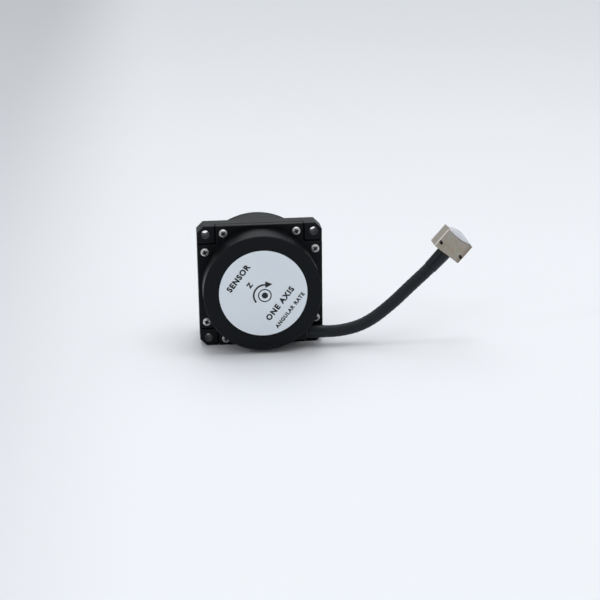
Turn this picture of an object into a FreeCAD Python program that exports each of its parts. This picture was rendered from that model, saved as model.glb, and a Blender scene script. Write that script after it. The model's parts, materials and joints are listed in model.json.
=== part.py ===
import FreeCAD, Part
import math
import os

# Single-axis fibre-optic gyroscope module with a short fixed lead and a small metal connector.
# Millimetres, +Z up. The module stands on the bottom edge of its square flange. The sensing axis
# runs along Y and the labelled drum face looks towards -Y. The origin is the middle of the
# housing's footprint, at the height of the bottom edge.

V = FreeCAD.Vector
X_AXIS = V(1, 0, 0)
Y_AXIS = V(0, 1, 0)
Z_AXIS = V(0, 0, 1)

# ---- driving dimensions: housing ----
FLANGE = 60.0              # side of the square flange
CORNER_CHAMFER = 3.2       # leg of the chamfer on each corner post
BASE_THICK = 7.2           # the base's share of the flange
COVER_THICK = 3.8          # the front cover's share of the flange
POST_RECESS = 0.3          # corner posts stop this far behind the cover's flange
NOTCH = 9.0                # square notch in each corner of the cover's flange
NOTCH_GAP = 0.4            # slot between a corner post and the cover
EDGE_BREAK = 0.3           # small chamfer on the machined outer edges
SEAM_BREAK = 0.35          # chamfer on both sides of the seam between base and cover

FRONT_DRUM_R = 28.3
FRONT_DRUM_LEN = 15.0
FRONT_WALL = 2.0
RIM_CHAMFER = 0.5          # front rim of the front drum
ROOT_FILLET = 0.2          # where the front drum meets its flange

REAR_DRUM_R = 29.5
REAR_DRUM_LEN = 15.7
REAR_BORE_R = 26.0
FRONT_BORE_R = 25.5        # bore of the base in front of the web
WEB = 2.0                  # wall between the electronics and the coil

LABEL_R = 21.0
LABEL_THICK = 0.15
LABEL_X = 0.13             # the label is stuck on slightly off centre
LABEL_Z = 0.38

# ---- driving dimensions: fasteners ----
MOUNT_PITCH = 52.0         # corner holes, both ways
MOUNT_HOLE_R = 2.0         # loose clearance for M3
MOUNT_HOLE_BREAK = 0.1
COVER_SCREW_NEAR = 17.5    # each cover screw lies this far from one centre line ...
COVER_SCREW_FAR = 26.5     # ... and this far from the other
M2_R = 1.0
M2_HEAD_R = 2.0
M2_HEAD_H = 1.5
M2_CLEAR_R = 1.15
COVER_SCREW_LEN = 8.0
REAR_SCREW_COUNT = 6
REAR_SCREW_CIRCLE = 27.4
REAR_SCREW_R = 0.8
REAR_HEAD_R = 1.5
REAR_SCREW_LEN = 6.0

# ---- driving dimensions: seals and rear cover ----
GASKET_INNER_R = 26.8
GASKET_OUTER_R = 28.4
GASKET_DEPTH = 1.2
REAR_COVER_THICK = 2.0
REAR_SPIGOT = 1.0
REAR_SEAL_THICK = 0.4

# ---- driving dimensions: lead ----
CABLE_D = 5.6
SLEEVE_WALL = 0.25
SLEEVE_LEN = 8.5
GROMMET_R = 3.2
GROMMET_LIP_R = 3.4
GROMMET_LIP = 1.0
GROMMET_LEN = 9.5
BOSS_R = 3.8
BOSS_END = 20.8            # distance of the boss's outer end from the centre line, along X
BOOT_R = 3.4               # heat-shrink boot at the connector's face
BOOT_TAIL_R = 3.15         # the same boot's other end
BOOT_LEN = 10.5
BOOT_CONE = 3.6
CABLE_INTO_SHELL = 1.5

# Middle of the lead, from inside the housing's wall to inside the connector's shell.
LEAD_ROUTE = [
    V(12.0, -12.0, 7.4),
    V(24.0, -12.0, 7.4),
    V(37.0, -12.0, 6.6),
    V(50.4, -11.8, 9.8),
    V(62.8, -11.2, 18.9),
    V(72.9, -10.2, 28.2),
    V(83.7, -9.1, 37.6),
    V(90.1, -9.6, 45.2),
]

# ---- driving dimensions: connector, in its own axes (X wide, Y deep, +Z to the mating end) ----
CONN_W = 16.3
CONN_D = 6.8
CONN_L = 10.4
CONN_WALL = 1.3
CONN_ROLL = 8.5            # turn of the connector about its mating axis, degrees
SCOOP_DEPTH = 0.9          # shallow arc cut in the mating edge of the shell
SCOOP_CHORD = 13.6
MOUTH_DEPTH = 4.0
INSERT_THICK = 2.0
PIN_R = 0.28
PIN_LEN = 1.6
PIN_PITCH = 1.27
SHELL_SCREW_X = 6.5
SHELL_SCREW_Z = 3.2
SHELL_SCREW_R = 0.7
SHELL_SCREW_SINK = 0.8     # depth of the long pocket over each screw
POCKET_REACH = 0.5         # from the screw's middle to the middle of each end of its pocket
POCKET_SLOPE = 23          # the pocket's slope, down towards +X, degrees
CAP_CLEAR = 0.2
CAP_D = 5.4                # depth of the cap's head, inside the shell's rim
CAP_RISE = 1.8
CAP_SKIRT = 2.0
CAP_WALL = 0.7

# ---- places that follow from the driving dimensions ----
HALF = FLANGE / 2
MID_Z = HALF
DEPTH = LABEL_THICK + FRONT_DRUM_LEN + COVER_THICK + BASE_THICK + REAR_DRUM_LEN
Y_REAR = DEPTH / 2
Y_BACK = Y_REAR - REAR_DRUM_LEN
Y_SEAM = Y_BACK - BASE_THICK
Y_FLANGE = Y_SEAM - COVER_THICK
Y_FRONT = Y_FLANGE - FRONT_DRUM_LEN
Y_WEB = Y_BACK - WEB
Y_REAR_INNER = Y_REAR - REAR_COVER_THICK


# ---- helpers ----
def cylinder(radius, start, axis, length):
    """Cylinder from a start point along an axis."""
    return Part.makeCylinder(radius, length, start, axis)


def disc(radius, y0, y1, x=0.0, z=0.0):
    """Cylinder along Y between two depths, placed from the sensing axis."""
    return cylinder(radius, V(x, y0, MID_Z + z), Y_AXIS, y1 - y0)


def ring(outer, inner, y0, y1, x=0.0, z=0.0):
    return disc(outer, y0, y1, x, z).cut(disc(inner, y0, y1, x, z))


def block(x0, x1, y0, y1, z0, z1):
    """Box between two corners, with X and Z counted from the sensing axis."""
    return Part.makeBox(x1 - x0, y1 - y0, z1 - z0, V(x0, y0, MID_Z + z0))


def square_prism(half, chamfer, y0, y1):
    """Square plate with chamfered corners between two depths."""
    near = half - chamfer
    outline = [(near, half), (half, near), (half, -near), (near, -half),
               (-near, -half), (-half, -near), (-half, near), (-near, half)]
    points = [V(x, y0, MID_Z + z) for x, z in outline]
    wire = Part.makePolygon(points + points[:1])
    return Part.Face(wire).extrude(V(0, y1 - y0, 0))


def edges_at(shape, test):
    return [edge for edge in shape.Edges if test(edge)]


def circle_edges(shape, radius, y):
    """Circular edges of one radius, lying at one depth."""
    def wanted(edge):
        curve = edge.Curve
        if not isinstance(curve, Part.Circle):
            return False
        return abs(curve.Radius - radius) < 0.01 and abs(curve.Center.y - y) < 0.01
    return edges_at(shape, wanted)


def edges_in_plane(shape, y):
    return edges_at(shape, lambda e: all(abs(v.Y - y) < 1e-4 for v in e.Vertexes)
                    and abs(e.BoundBox.YLength) < 1e-4)


def outer_edges(shape, y):
    """The edges at one depth that lie in the flange's four outer sides."""
    def wanted(edge):
        box = edge.BoundBox
        reach = max(abs(box.XMin), abs(box.XMax), abs(box.ZMin - MID_Z), abs(box.ZMax - MID_Z))
        return reach > HALF - 0.01 and min(box.XLength, box.ZLength) < 0.01
    return [edge for edge in edges_in_plane(shape, y) if wanted(edge)]


def four_ways(near, far):
    """The places (x, z) of one fastener and its mirror images."""
    return [(sx * near, sz * far) for sx in (-1, 1) for sz in (-1, 1)]


def cover_screw_places():
    return (four_ways(COVER_SCREW_NEAR, COVER_SCREW_FAR)
            + four_ways(COVER_SCREW_FAR, COVER_SCREW_NEAR))


def on_circle(radius, count, start_deg=0.0):
    step = 360.0 / count
    angles = [math.radians(start_deg + step * i) for i in range(count)]
    return [(radius * math.cos(a), radius * math.sin(a)) for a in angles]


def cross_recess(size, depth, top, x, z, turn_deg):
    """Tapered cross for a screwdriver, cut from a head whose top is at depth y = top."""
    centre = V(x, top, MID_Z + z)
    width = size * 0.26
    cross = None
    for quarter in (0, 90):
        slot = Part.makeBox(size, depth, width, V(x - size / 2, top, MID_Z + z - width / 2))
        slot.rotate(centre, Y_AXIS, turn_deg + quarter)
        cross = slot if cross is None else cross.fuse(slot)
    point = Part.makeCone(size * 0.3, 0.05, depth * 1.25, centre, Y_AXIS)
    return cross.fuse(point)


def pan_screw(x, z, seat, length, turn_deg, head_r=M2_HEAD_R, head_h=M2_HEAD_H, shank_r=M2_R):
    """Cross-recess pan-head screw driven towards +Y, its head seated at one depth."""
    top = seat - head_h
    head = disc(head_r, top, seat, x, z)
    head = head.makeFillet(head_h * 0.55, circle_edges(head, head_r, top))
    shank = disc(shank_r, seat, seat + length, x, z)
    recess = cross_recess(head_r * 1.25, head_h * 0.62, top, x, z, turn_deg)
    return head.fuse(shank).cut(recess).removeSplitter()


def countersunk_screw(x, z, face, length, turn_deg):
    """Cross-recess flat-head screw driven towards -Y, flush with the rear face."""
    head_h = REAR_HEAD_R - REAR_SCREW_R
    cone = Part.makeCone(REAR_HEAD_R, REAR_SCREW_R, head_h, V(x, face, MID_Z + z), -Y_AXIS)
    shank = cylinder(REAR_SCREW_R, V(x, face, MID_Z + z), -Y_AXIS, length)
    recess = cross_recess(REAR_HEAD_R * 1.3, 0.5, face - 0.5, x, z, turn_deg)
    return cone.fuse(shank).cut(recess).removeSplitter()


def group(shapes):
    """Separate identical solids that share one node."""
    return Part.makeCompound(shapes)


# ---- housing ----
def mount_holes():
    reach = MOUNT_PITCH / 2
    return [disc(MOUNT_HOLE_R, Y_FLANGE - 1, Y_BACK + 1, x, z) for x, z in four_ways(reach, reach)]


def mount_hole_breaks():
    """Small countersinks at both ends of the corner holes."""
    reach = MOUNT_PITCH / 2
    size = MOUNT_HOLE_R + MOUNT_HOLE_BREAK
    cones = []
    for x, z in four_ways(reach, reach):
        front = V(x, Y_FLANGE + POST_RECESS, MID_Z + z)
        back = V(x, Y_BACK, MID_Z + z)
        cones.append(Part.makeCone(size, MOUNT_HOLE_R, MOUNT_HOLE_BREAK, front, Y_AXIS))
        cones.append(Part.makeCone(size, MOUNT_HOLE_R, MOUNT_HOLE_BREAK, back, -Y_AXIS))
    return cones


def corner_posts():
    """The base's corner posts, which fill the notches of the cover's flange."""
    whole = square_prism(HALF, CORNER_CHAMFER, Y_FLANGE + POST_RECESS, Y_SEAM + 1)
    inner = HALF - NOTCH + NOTCH_GAP
    corners = []
    for sx in (-1, 1):
        for sz in (-1, 1):
            x0, x1 = sorted((sx * inner, sx * (HALF + 1)))
            z0, z1 = sorted((sz * inner, sz * (HALF + 1)))
            corners.append(whole.common(block(x0, x1, Y_FLANGE - 1, Y_SEAM + 1, z0, z1)))
    return corners


def base_housing():
    body = square_prism(HALF, CORNER_CHAMFER, Y_SEAM, Y_BACK)
    body = body.makeChamfer(SEAM_BREAK, edges_in_plane(body, Y_SEAM))
    body = body.fuse(disc(REAR_DRUM_R, Y_BACK - 1, Y_REAR_INNER - REAR_SEAL_THICK))
    body = body.fuse(corner_posts()).removeSplitter()
    body = body.makeChamfer(EDGE_BREAK, edges_in_plane(body, Y_FLANGE + POST_RECESS))
    cuts = [disc(FRONT_BORE_R, Y_FLANGE, Y_WEB), disc(REAR_BORE_R, Y_BACK, Y_REAR)]
    cuts += mount_holes() + mount_hole_breaks()
    cuts.append(ring(GASKET_OUTER_R, GASKET_INNER_R, Y_SEAM - 1, Y_SEAM + GASKET_DEPTH))
    thread_end = Y_FLANGE + COVER_SCREW_LEN
    cuts += [disc(M2_R, Y_SEAM - 1, thread_end, x, z) for x, z in cover_screw_places()]
    cuts += [disc(REAR_SCREW_R, Y_REAR - REAR_SCREW_LEN, Y_REAR, x, z)
             for x, z in on_circle(REAR_SCREW_CIRCLE, REAR_SCREW_COUNT, 30)]
    cuts += [disc(M2_R, Y_WEB - 1, Y_WEB + BOARD_THREAD, x, z) for x, z in board_screw_places()]
    cuts += [disc(M2_R, Y_BACK - SPOOL_THREAD, Y_BACK + 1, x, z)
             for x, z in on_circle(SPOOL_SCREW_CIRCLE, SPOOL_SCREW_COUNT, 90)]
    return body.cut(cuts)


def front_cover():
    inner = HALF - NOTCH
    plate = block(-HALF, HALF, Y_FLANGE, Y_SEAM, -inner, inner)
    plate = plate.fuse(block(-inner, inner, Y_FLANGE, Y_SEAM, -HALF, HALF)).removeSplitter()
    plate = plate.makeChamfer(EDGE_BREAK, edges_in_plane(plate, Y_FLANGE))
    plate = plate.makeChamfer(SEAM_BREAK, outer_edges(plate, Y_SEAM))
    body = plate.fuse(disc(FRONT_DRUM_R, Y_FRONT, Y_SEAM)).removeSplitter()
    body = body.makeFillet(ROOT_FILLET, circle_edges(body, FRONT_DRUM_R, Y_FLANGE))
    body = body.makeChamfer(RIM_CHAMFER, circle_edges(body, FRONT_DRUM_R, Y_FRONT))
    exit_point = LEAD_ROUTE[0]
    boss_start = V(6.0, exit_point.y, exit_point.z)
    body = body.fuse(cylinder(BOSS_R, boss_start, X_AXIS, BOSS_END - boss_start.x))
    body = body.cut(disc(FRONT_DRUM_R - FRONT_WALL, Y_FRONT + FRONT_WALL, Y_SEAM + 1))
    cuts = [cylinder(GROMMET_R, boss_start, X_AXIS, HALF)]
    cuts += [disc(M2_CLEAR_R, Y_FLANGE - 1, Y_SEAM + 1, x, z) for x, z in cover_screw_places()]
    return body.cut(cuts)


def front_gasket():
    return ring(GASKET_OUTER_R, GASKET_INNER_R, Y_SEAM, Y_SEAM + GASKET_DEPTH)


def rear_cover():
    plate = disc(REAR_DRUM_R, Y_REAR_INNER, Y_REAR)
    plate = plate.makeChamfer(EDGE_BREAK, circle_edges(plate, REAR_DRUM_R, Y_REAR))
    plate = plate.fuse(disc(REAR_BORE_R - 0.2, Y_REAR_INNER - REAR_SPIGOT, Y_REAR_INNER))
    head_h = REAR_HEAD_R - REAR_SCREW_R
    for x, z in on_circle(REAR_SCREW_CIRCLE, REAR_SCREW_COUNT, 30):
        sink = Part.makeCone(REAR_HEAD_R, REAR_SCREW_R, head_h, V(x, Y_REAR, MID_Z + z), -Y_AXIS)
        plate = plate.cut([sink, disc(REAR_SCREW_R, Y_REAR_INNER - 1, Y_REAR, x, z)])
    return plate.removeSplitter()


def rear_gasket():
    seal = ring(REAR_DRUM_R - EDGE_BREAK, REAR_BORE_R, Y_REAR_INNER - REAR_SEAL_THICK, Y_REAR_INNER)
    holes = [disc(REAR_SCREW_R, Y_REAR_INNER - 1, Y_REAR, x, z)
             for x, z in on_circle(REAR_SCREW_CIRCLE, REAR_SCREW_COUNT, 30)]
    return seal.cut(holes)


def cover_screws():
    turns = [12, 55, 38, 71, 20, 64, 5, 47]
    return group([pan_screw(x, z, Y_FLANGE, COVER_SCREW_LEN, turn)
                  for (x, z), turn in zip(cover_screw_places(), turns)])


def rear_cover_screws():
    places = on_circle(REAR_SCREW_CIRCLE, REAR_SCREW_COUNT, 30)
    return group([countersunk_screw(x, z, Y_REAR, REAR_SCREW_LEN, 25 * i)
                  for i, (x, z) in enumerate(places)])


def label():
    return disc(LABEL_R, Y_FRONT - LABEL_THICK, Y_FRONT, LABEL_X, LABEL_Z)


# ---- sensing coil, behind the web ----
SHIELD_R = 25.6
SHIELD_WALL = 0.5
SHIELD_TOP = 16.6
SPOOL_R = 24.6
SPOOL_FLANGE = 0.8
SPOOL_HUB_R = 15.5
SPOOL_HUB_BORE = 13.8
SPOOL_TOP = 16.0
COIL_R = 23.8
SPOOL_SCREW_CIRCLE = 10.5
SPOOL_SCREW_COUNT = 3
SPOOL_THREAD = 1.6
SPOOL_SEAT = Y_BACK + SHIELD_WALL


def spool_screw_places():
    return on_circle(SPOOL_SCREW_CIRCLE, SPOOL_SCREW_COUNT, 90)


def shield_cup():
    """Open magnetic shield round the coil."""
    cup = disc(SHIELD_R, Y_BACK, SHIELD_TOP)
    cup = cup.cut(disc(SHIELD_R - SHIELD_WALL, SPOOL_SEAT, SHIELD_TOP + 1))
    return cup.cut([disc(M2_R, Y_BACK - 1, SPOOL_SEAT + 1, x, z) for x, z in spool_screw_places()])


def shield_lid():
    return disc(SHIELD_R, SHIELD_TOP, SHIELD_TOP + SHIELD_WALL)


def coil_spool():
    spool = disc(SPOOL_R, SPOOL_SEAT, SPOOL_SEAT + SPOOL_FLANGE)
    spool = spool.fuse(disc(SPOOL_HUB_R, SPOOL_SEAT, SPOOL_TOP))
    spool = spool.fuse(disc(SPOOL_R, SPOOL_TOP - SPOOL_FLANGE, SPOOL_TOP)).removeSplitter()
    spool = spool.cut(disc(SPOOL_HUB_BORE, SPOOL_SEAT + SPOOL_FLANGE, SPOOL_TOP + 1))
    return spool.cut([disc(M2_R, Y_BACK, SPOOL_TOP, x, z) for x, z in spool_screw_places()])


def fibre_coil():
    return ring(COIL_R, SPOOL_HUB_R, SPOOL_SEAT + SPOOL_FLANGE, SPOOL_TOP - SPOOL_FLANGE)


def spool_screws():
    """Short screws through the spool and the shield into the web, heads towards the rear."""
    floor = SPOOL_SEAT + SPOOL_FLANGE
    screws = []
    for i, (x, z) in enumerate(spool_screw_places()):
        head_h = 1.2
        head = disc(M2_HEAD_R - 0.1, floor, floor + head_h, x, z)
        shank = disc(M2_R, Y_BACK - SPOOL_THREAD, floor, x, z)
        slot = cross_recess(2.4, 0.7, floor + head_h - 0.7, x, z, 30 * i)
        screws.append(head.fuse(shank).cut(slot).removeSplitter())
    return group(screws)


def phase_modulator():
    """Integrated-optic chip package across the middle of the spool."""
    floor = SPOOL_SEAT + SPOOL_FLANGE
    package = block(-11, 11, floor, floor + 3.6, -3, 3)
    return package.fuse(block(-12.8, 12.8, floor + 1, floor + 2.6, -1, 1)).removeSplitter()


def fibre_coupler():
    floor = SPOOL_SEAT + SPOOL_FLANGE
    return cylinder(1.5, V(-6.5, floor + 1.5, MID_Z - 7.2), X_AXIS, 13)


def splice_sleeves():
    floor = SPOOL_SEAT + SPOOL_FLANGE
    return group([cylinder(1.1, V(-6.5, floor + 1.1, MID_Z + 4.9 + i * 2.4), X_AXIS, 13)
                  for i in range(2)])


def fibre_slack():
    """Slack fibre kept as a ring inside the spool."""
    return Part.makeTorus(12.4, 0.9, V(0, SPOOL_TOP - 2.4, MID_Z), Y_AXIS)


# ---- electronics, in front of the web ----
STANDOFF_R = 2.0
STANDOFF_LEN = 4.5
SIGNAL_BOARD = 1.6
SPACER_LEN = 6.2
POWER_BOARD = 1.2
SIGNAL_BOARD_R = 24.4
POWER_BOARD_R = 24.0
POWER_BOARD_FLAT = 17.4
BOARD_SCREW_REACH = 14.2
BOARD_THREAD = 1.4
Y_SIGNAL_REAR = Y_WEB - STANDOFF_LEN
Y_SIGNAL_FRONT = Y_SIGNAL_REAR - SIGNAL_BOARD
Y_POWER_REAR = Y_SIGNAL_FRONT - SPACER_LEN
Y_POWER_FRONT = Y_POWER_REAR - POWER_BOARD


def board_screw_places():
    return four_ways(BOARD_SCREW_REACH, BOARD_SCREW_REACH)


def pillars(y0, y1):
    return group([ring(STANDOFF_R, M2_R, y0, y1, x, z) for x, z in board_screw_places()])


def board_standoffs():
    return pillars(Y_SIGNAL_REAR, Y_WEB)


def board_spacers():
    return pillars(Y_POWER_REAR, Y_SIGNAL_FRONT)


def board_holes(y0, y1):
    return [disc(M2_R, y0, y1, x, z) for x, z in board_screw_places()]


def signal_board():
    plate = disc(SIGNAL_BOARD_R, Y_SIGNAL_FRONT, Y_SIGNAL_REAR)
    return plate.cut(board_holes(Y_SIGNAL_FRONT, Y_SIGNAL_REAR))


def power_board():
    """Round board with a flat that clears the lead."""
    plate = disc(POWER_BOARD_R, Y_POWER_FRONT, Y_POWER_REAR)
    side = POWER_BOARD_R + 1
    plate = plate.cut(block(-side, side, Y_POWER_FRONT - 1, Y_POWER_REAR + 1, -side, -POWER_BOARD_FLAT))
    return plate.cut(board_holes(Y_POWER_FRONT, Y_POWER_REAR))


def board_screws():
    length = Y_WEB + BOARD_THREAD - Y_POWER_FRONT
    return group([pan_screw(x, z, Y_POWER_FRONT, length, 20 * i)
                  for i, (x, z) in enumerate(board_screw_places())])


def on_signal_board(x0, x1, z0, z1, height):
    return block(x0, x1, Y_SIGNAL_FRONT - height, Y_SIGNAL_FRONT, z0, z1)


def on_power_board(x0, x1, z0, z1, height):
    return block(x0, x1, Y_POWER_FRONT - height, Y_POWER_FRONT, z0, z1)


def light_source():
    """Superluminescent diode in a small flat package with its fibre snout."""
    package = on_signal_board(-9, 2, 9, 16, 4.4)
    snout = cylinder(1.2, V(2, Y_SIGNAL_FRONT - 2.4, MID_Z + 12.5), X_AXIS, 4)
    return package.fuse(snout).removeSplitter()


def photodetector():
    can = disc(2.7, Y_SIGNAL_FRONT - 0.8, Y_SIGNAL_FRONT, -18.5, 4.0)
    return can.fuse(disc(2.35, Y_SIGNAL_FRONT - 4.2, Y_SIGNAL_FRONT - 0.8, -18.5, 4.0)).removeSplitter()


def signal_processor():
    return on_signal_board(-5.5, 5.5, -7.5, 3.5, 1.6)


def converter_chips():
    return group([on_signal_board(9, 15, 2, 8, 1.4), on_signal_board(9, 15, -8, -2, 1.4),
                  on_signal_board(-14.5, -9.5, -9, -5, 1.4)])


def board_link():
    """Stacking connector between the two boards."""
    return block(-8, 8, Y_POWER_REAR, Y_SIGNAL_FRONT, -17, -12.6)


def power_module():
    return on_power_board(-6, 7, 4, 15, 4.6)


def filter_capacitors():
    cans = []
    for x, z in ((-11, 9.5), (-11, 3.0), (11.5, 3.0)):
        cans.append(disc(2.6, Y_POWER_FRONT - 5.2, Y_POWER_FRONT, x, z))
    return group(cans)


def clock_crystal():
    return on_power_board(-4.5, 0.5, -3.5, -0.3, 1.1)


LEAD_PLUG_Z = -8.6          # lower edge of the lead's plug, from the sensing axis
LEAD_PLUG_X = 3.6
LEAD_PLUG_W = 10.0
WIRE_R = 0.55


def lead_header():
    """Board header that takes the lead's plug."""
    x0 = LEAD_PLUG_X - LEAD_PLUG_W / 2
    return on_power_board(x0, x0 + LEAD_PLUG_W, LEAD_PLUG_Z + 3.0, LEAD_PLUG_Z + 4.6, 4.4)


def lead_plug():
    x0 = LEAD_PLUG_X - LEAD_PLUG_W / 2 + 0.5
    return block(x0, x0 + LEAD_PLUG_W - 1, Y_POWER_FRONT - 3.9, Y_POWER_FRONT - 0.4,
                 LEAD_PLUG_Z, LEAD_PLUG_Z + 3.0)


def lead_wires():
    """Wires from the lead's end, each turned up through a quarter circle into the plug."""
    wires = []
    start = LEAD_ROUTE[0]
    bend = 3.0
    for i, (dy, dz) in enumerate(((-0.8, 0.8), (-0.8, -0.8), (-2.2, 0.0), (-1.4, 1.7))):
        y = start.y + dy
        z = start.z + dz
        x_up = LEAD_PLUG_X + 3.0 - 2.0 * i
        a = V(start.x, y, z)
        b = V(x_up + bend, y, z)
        c = V(x_up, y, z + bend)
        corner = bend * (1 - math.sqrt(0.5))
        middle = V(x_up + corner, y, z + corner)
        d = V(x_up, y, MID_Z + LEAD_PLUG_Z)
        path = Part.Wire([Part.makeLine(a, b), Part.Arc(b, middle, c).toShape(), Part.makeLine(c, d)])
        wires.append(sweep(path, WIRE_R, a, V(-1, 0, 0)))
    return group(wires)


# ---- lead ----
def sweep(path, radius, start, direction):
    section = Part.Wire(Part.makeCircle(radius, start, direction))
    return path.makePipeShell([section], True, False)


def lead_path(points):
    """Straight runs joined by tangent arcs, with each arc as large as its two runs allow."""
    edges = []
    radii = []
    last = points[0]
    for before, corner, after in zip(points, points[1:], points[2:]):
        into = (corner - before).normalize()
        out = (after - corner).normalize()
        shorter = min((corner - before).Length, (after - corner).Length)
        turn = into.getAngle(out)
        reach = 0.45 * shorter
        radius = reach / math.tan(turn / 2)
        radii.append(radius)
        a = corner - into * reach
        c = corner + out * reach
        inward = (out - into).normalize()
        middle = corner + inward * (radius / math.cos(turn / 2) - radius)
        edges.append(Part.makeLine(last, a))
        edges.append(Part.Arc(a, middle, c).toShape())
        last = c
    edges.append(Part.makeLine(last, points[-1]))
    return Part.Wire(edges), radii


def lead_tube(radius):
    path, _ = lead_path(LEAD_ROUTE)
    return sweep(path, radius, LEAD_ROUTE[0], X_AXIS)


def cable():
    return lead_tube(CABLE_D / 2)


def cable_grommet():
    """Rubber bush in the boss, with a lip outside."""
    start = V(BOSS_END - GROMMET_LEN, LEAD_ROUTE[0].y, LEAD_ROUTE[0].z)
    lip = V(BOSS_END, start.y, start.z)
    bush = cylinder(GROMMET_R, start, X_AXIS, GROMMET_LEN)
    bush = bush.fuse(cylinder(GROMMET_LIP_R, lip, X_AXIS, GROMMET_LIP)).removeSplitter()
    bush = bush.makeChamfer(0.3, circle_edge_at(bush, GROMMET_LIP_R, BOSS_END + GROMMET_LIP))
    bush = bush.cut(cylinder(CABLE_D / 2, start, X_AXIS, GROMMET_LEN / 2))
    return bush.cut(lead_tube(CABLE_D / 2))


def circle_edge_at(shape, radius, x):
    def wanted(edge):
        curve = edge.Curve
        if not isinstance(curve, Part.Circle):
            return False
        return abs(curve.Radius - radius) < 0.01 and abs(curve.Center.x - x) < 0.01
    return edges_at(shape, wanted)


def cable_sleeve():
    """Heat-shrink over the first stretch of the lead."""
    start = BOSS_END + GROMMET_LIP
    window = block(start, start + SLEEVE_LEN, -20, -4, -HALF, 0)
    shell = lead_tube(CABLE_D / 2 + SLEEVE_WALL).common(window)
    return shell.cut(lead_tube(CABLE_D / 2))


# ---- connector ----
def mating_axis():
    return (LEAD_ROUTE[-1] - LEAD_ROUTE[-2]).normalize()


def connector_placement():
    """Origin at the middle of the cable-side face, +Z along the mating axis."""
    axis = mating_axis()
    about_y = math.degrees(math.atan2(axis.x, axis.z))
    about_x = -math.degrees(math.asin(axis.y))
    turn = FreeCAD.Rotation(Y_AXIS, about_y)
    turn = turn.multiply(FreeCAD.Rotation(X_AXIS, about_x))
    turn = turn.multiply(FreeCAD.Rotation(Z_AXIS, CONN_ROLL))
    return FreeCAD.Placement(LEAD_ROUTE[-1] - axis * CABLE_INTO_SHELL, turn)


def moved(shape):
    """Move a shape from the connector's axes into the module's."""
    copy = shape.copy()
    copy.Placement = connector_placement().multiply(copy.Placement)
    return copy


def local_box(width, deep, z0, z1):
    return Part.makeBox(width, deep, z1 - z0, V(-width / 2, -deep / 2, z0))


def arc_face(chord, rise, z0):
    """Segment of a circle in the XZ plane: a chord at height z0 and an arc above or below it."""
    left = V(-chord / 2, 0, z0)
    right = V(chord / 2, 0, z0)
    arc = Part.Arc(left, V(0, 0, z0 + rise), right).toShape()
    return Part.Face(Part.Wire([arc, Part.makeLine(right, left)]))


def lens(chord, up, down, deep, z0):
    """Plate with one convex edge above its chord and one below."""
    parts = []
    for rise in (up, -down):
        face = arc_face(chord, rise, z0)
        face.translate(V(0, -deep / 2, 0))
        parts.append(face.extrude(V(0, deep, 0)))
    return parts[0].fuse(parts[1]).removeSplitter()


def screw_pocket(seat):
    """Round-ended sloping slot, sunk in the connector's front face over one screw."""
    depth = 1 + SHELL_SCREW_SINK
    corner = seat - V(POCKET_REACH, 0, SHELL_SCREW_R)
    pocket = Part.makeBox(2 * POCKET_REACH, depth, 2 * SHELL_SCREW_R, corner)
    ends = [cylinder(SHELL_SCREW_R, seat + V(end * POCKET_REACH, 0, 0), Y_AXIS, depth) for end in (-1, 1)]
    pocket = pocket.fuse(ends)
    pocket.rotate(seat, Y_AXIS, POCKET_SLOPE)
    return pocket


def connector_shell():
    body = local_box(CONN_W, CONN_D, 0, CONN_L)
    corners = edges_at(body, lambda e: abs(e.BoundBox.ZLength - CONN_L) < 0.01)
    body = body.makeFillet(0.5, corners)
    body = body.cut(lens(SCOOP_CHORD, SCOOP_DEPTH, SCOOP_DEPTH, CONN_D + 2, CONN_L))
    cavity_w = CONN_W - 2 * CONN_WALL
    cavity_d = CONN_D - 2 * CONN_WALL
    cuts = [local_box(cavity_w, cavity_d, CABLE_INTO_SHELL, CONN_L + 1)]
    cuts.append(cylinder(CABLE_D / 2, V(0, 0, -1), Z_AXIS, CABLE_INTO_SHELL + 1))
    for side in (-1, 1):
        seat = V(side * SHELL_SCREW_X, -CONN_D / 2 - 1, SHELL_SCREW_Z)
        cuts.append(cylinder(SHELL_SCREW_R, seat, Y_AXIS, CONN_WALL + 1))
        cuts.append(screw_pocket(seat))
    return moved(body.cut(cuts))


def connector_screws():
    """Two small slotted screws at the bottom of the pockets in the connector's front face."""
    screws = []
    for side in (-1, 1):
        top = -CONN_D / 2 + SHELL_SCREW_SINK
        seat = V(side * SHELL_SCREW_X, top, SHELL_SCREW_Z)
        length = CONN_WALL - SHELL_SCREW_SINK
        screw = cylinder(SHELL_SCREW_R, seat, Y_AXIS, length)
        slot = Part.makeBox(2, 0.3, 0.3, V(seat.x - 1, top, seat.z - 0.15))
        slot.rotate(seat, Y_AXIS, 35 + 20 * side)
        screws.append(moved(screw.cut(slot)))
    return group(screws)


def connector_potting():
    """Epoxy round the wires in the connector's back half."""
    top = CONN_L - MOUTH_DEPTH - INSERT_THICK
    return moved(local_box(CONN_W - 2 * CONN_WALL, CONN_D - 2 * CONN_WALL, CABLE_INTO_SHELL, top))


def pin_places():
    """Nine contacts in a row of five and a row of four."""
    places = []
    for count, y in ((5, -0.7), (4, 0.7)):
        first = -(count - 1) * PIN_PITCH / 2
        places += [(first + PIN_PITCH * i, y) for i in range(count)]
    return places


def connector_insert():
    z1 = CONN_L - MOUTH_DEPTH
    body = local_box(CONN_W - 2 * CONN_WALL, CONN_D - 2 * CONN_WALL, z1 - INSERT_THICK, z1)
    holes = [cylinder(PIN_R, V(x, y, z1 - INSERT_THICK), Z_AXIS, INSERT_THICK) for x, y in pin_places()]
    return moved(body.cut(holes))


def connector_pins():
    base = CONN_L - MOUTH_DEPTH - INSERT_THICK
    length = INSERT_THICK + PIN_LEN
    return group([moved(cylinder(PIN_R, V(x, y, base), Z_AXIS, length)) for x, y in pin_places()])


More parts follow.
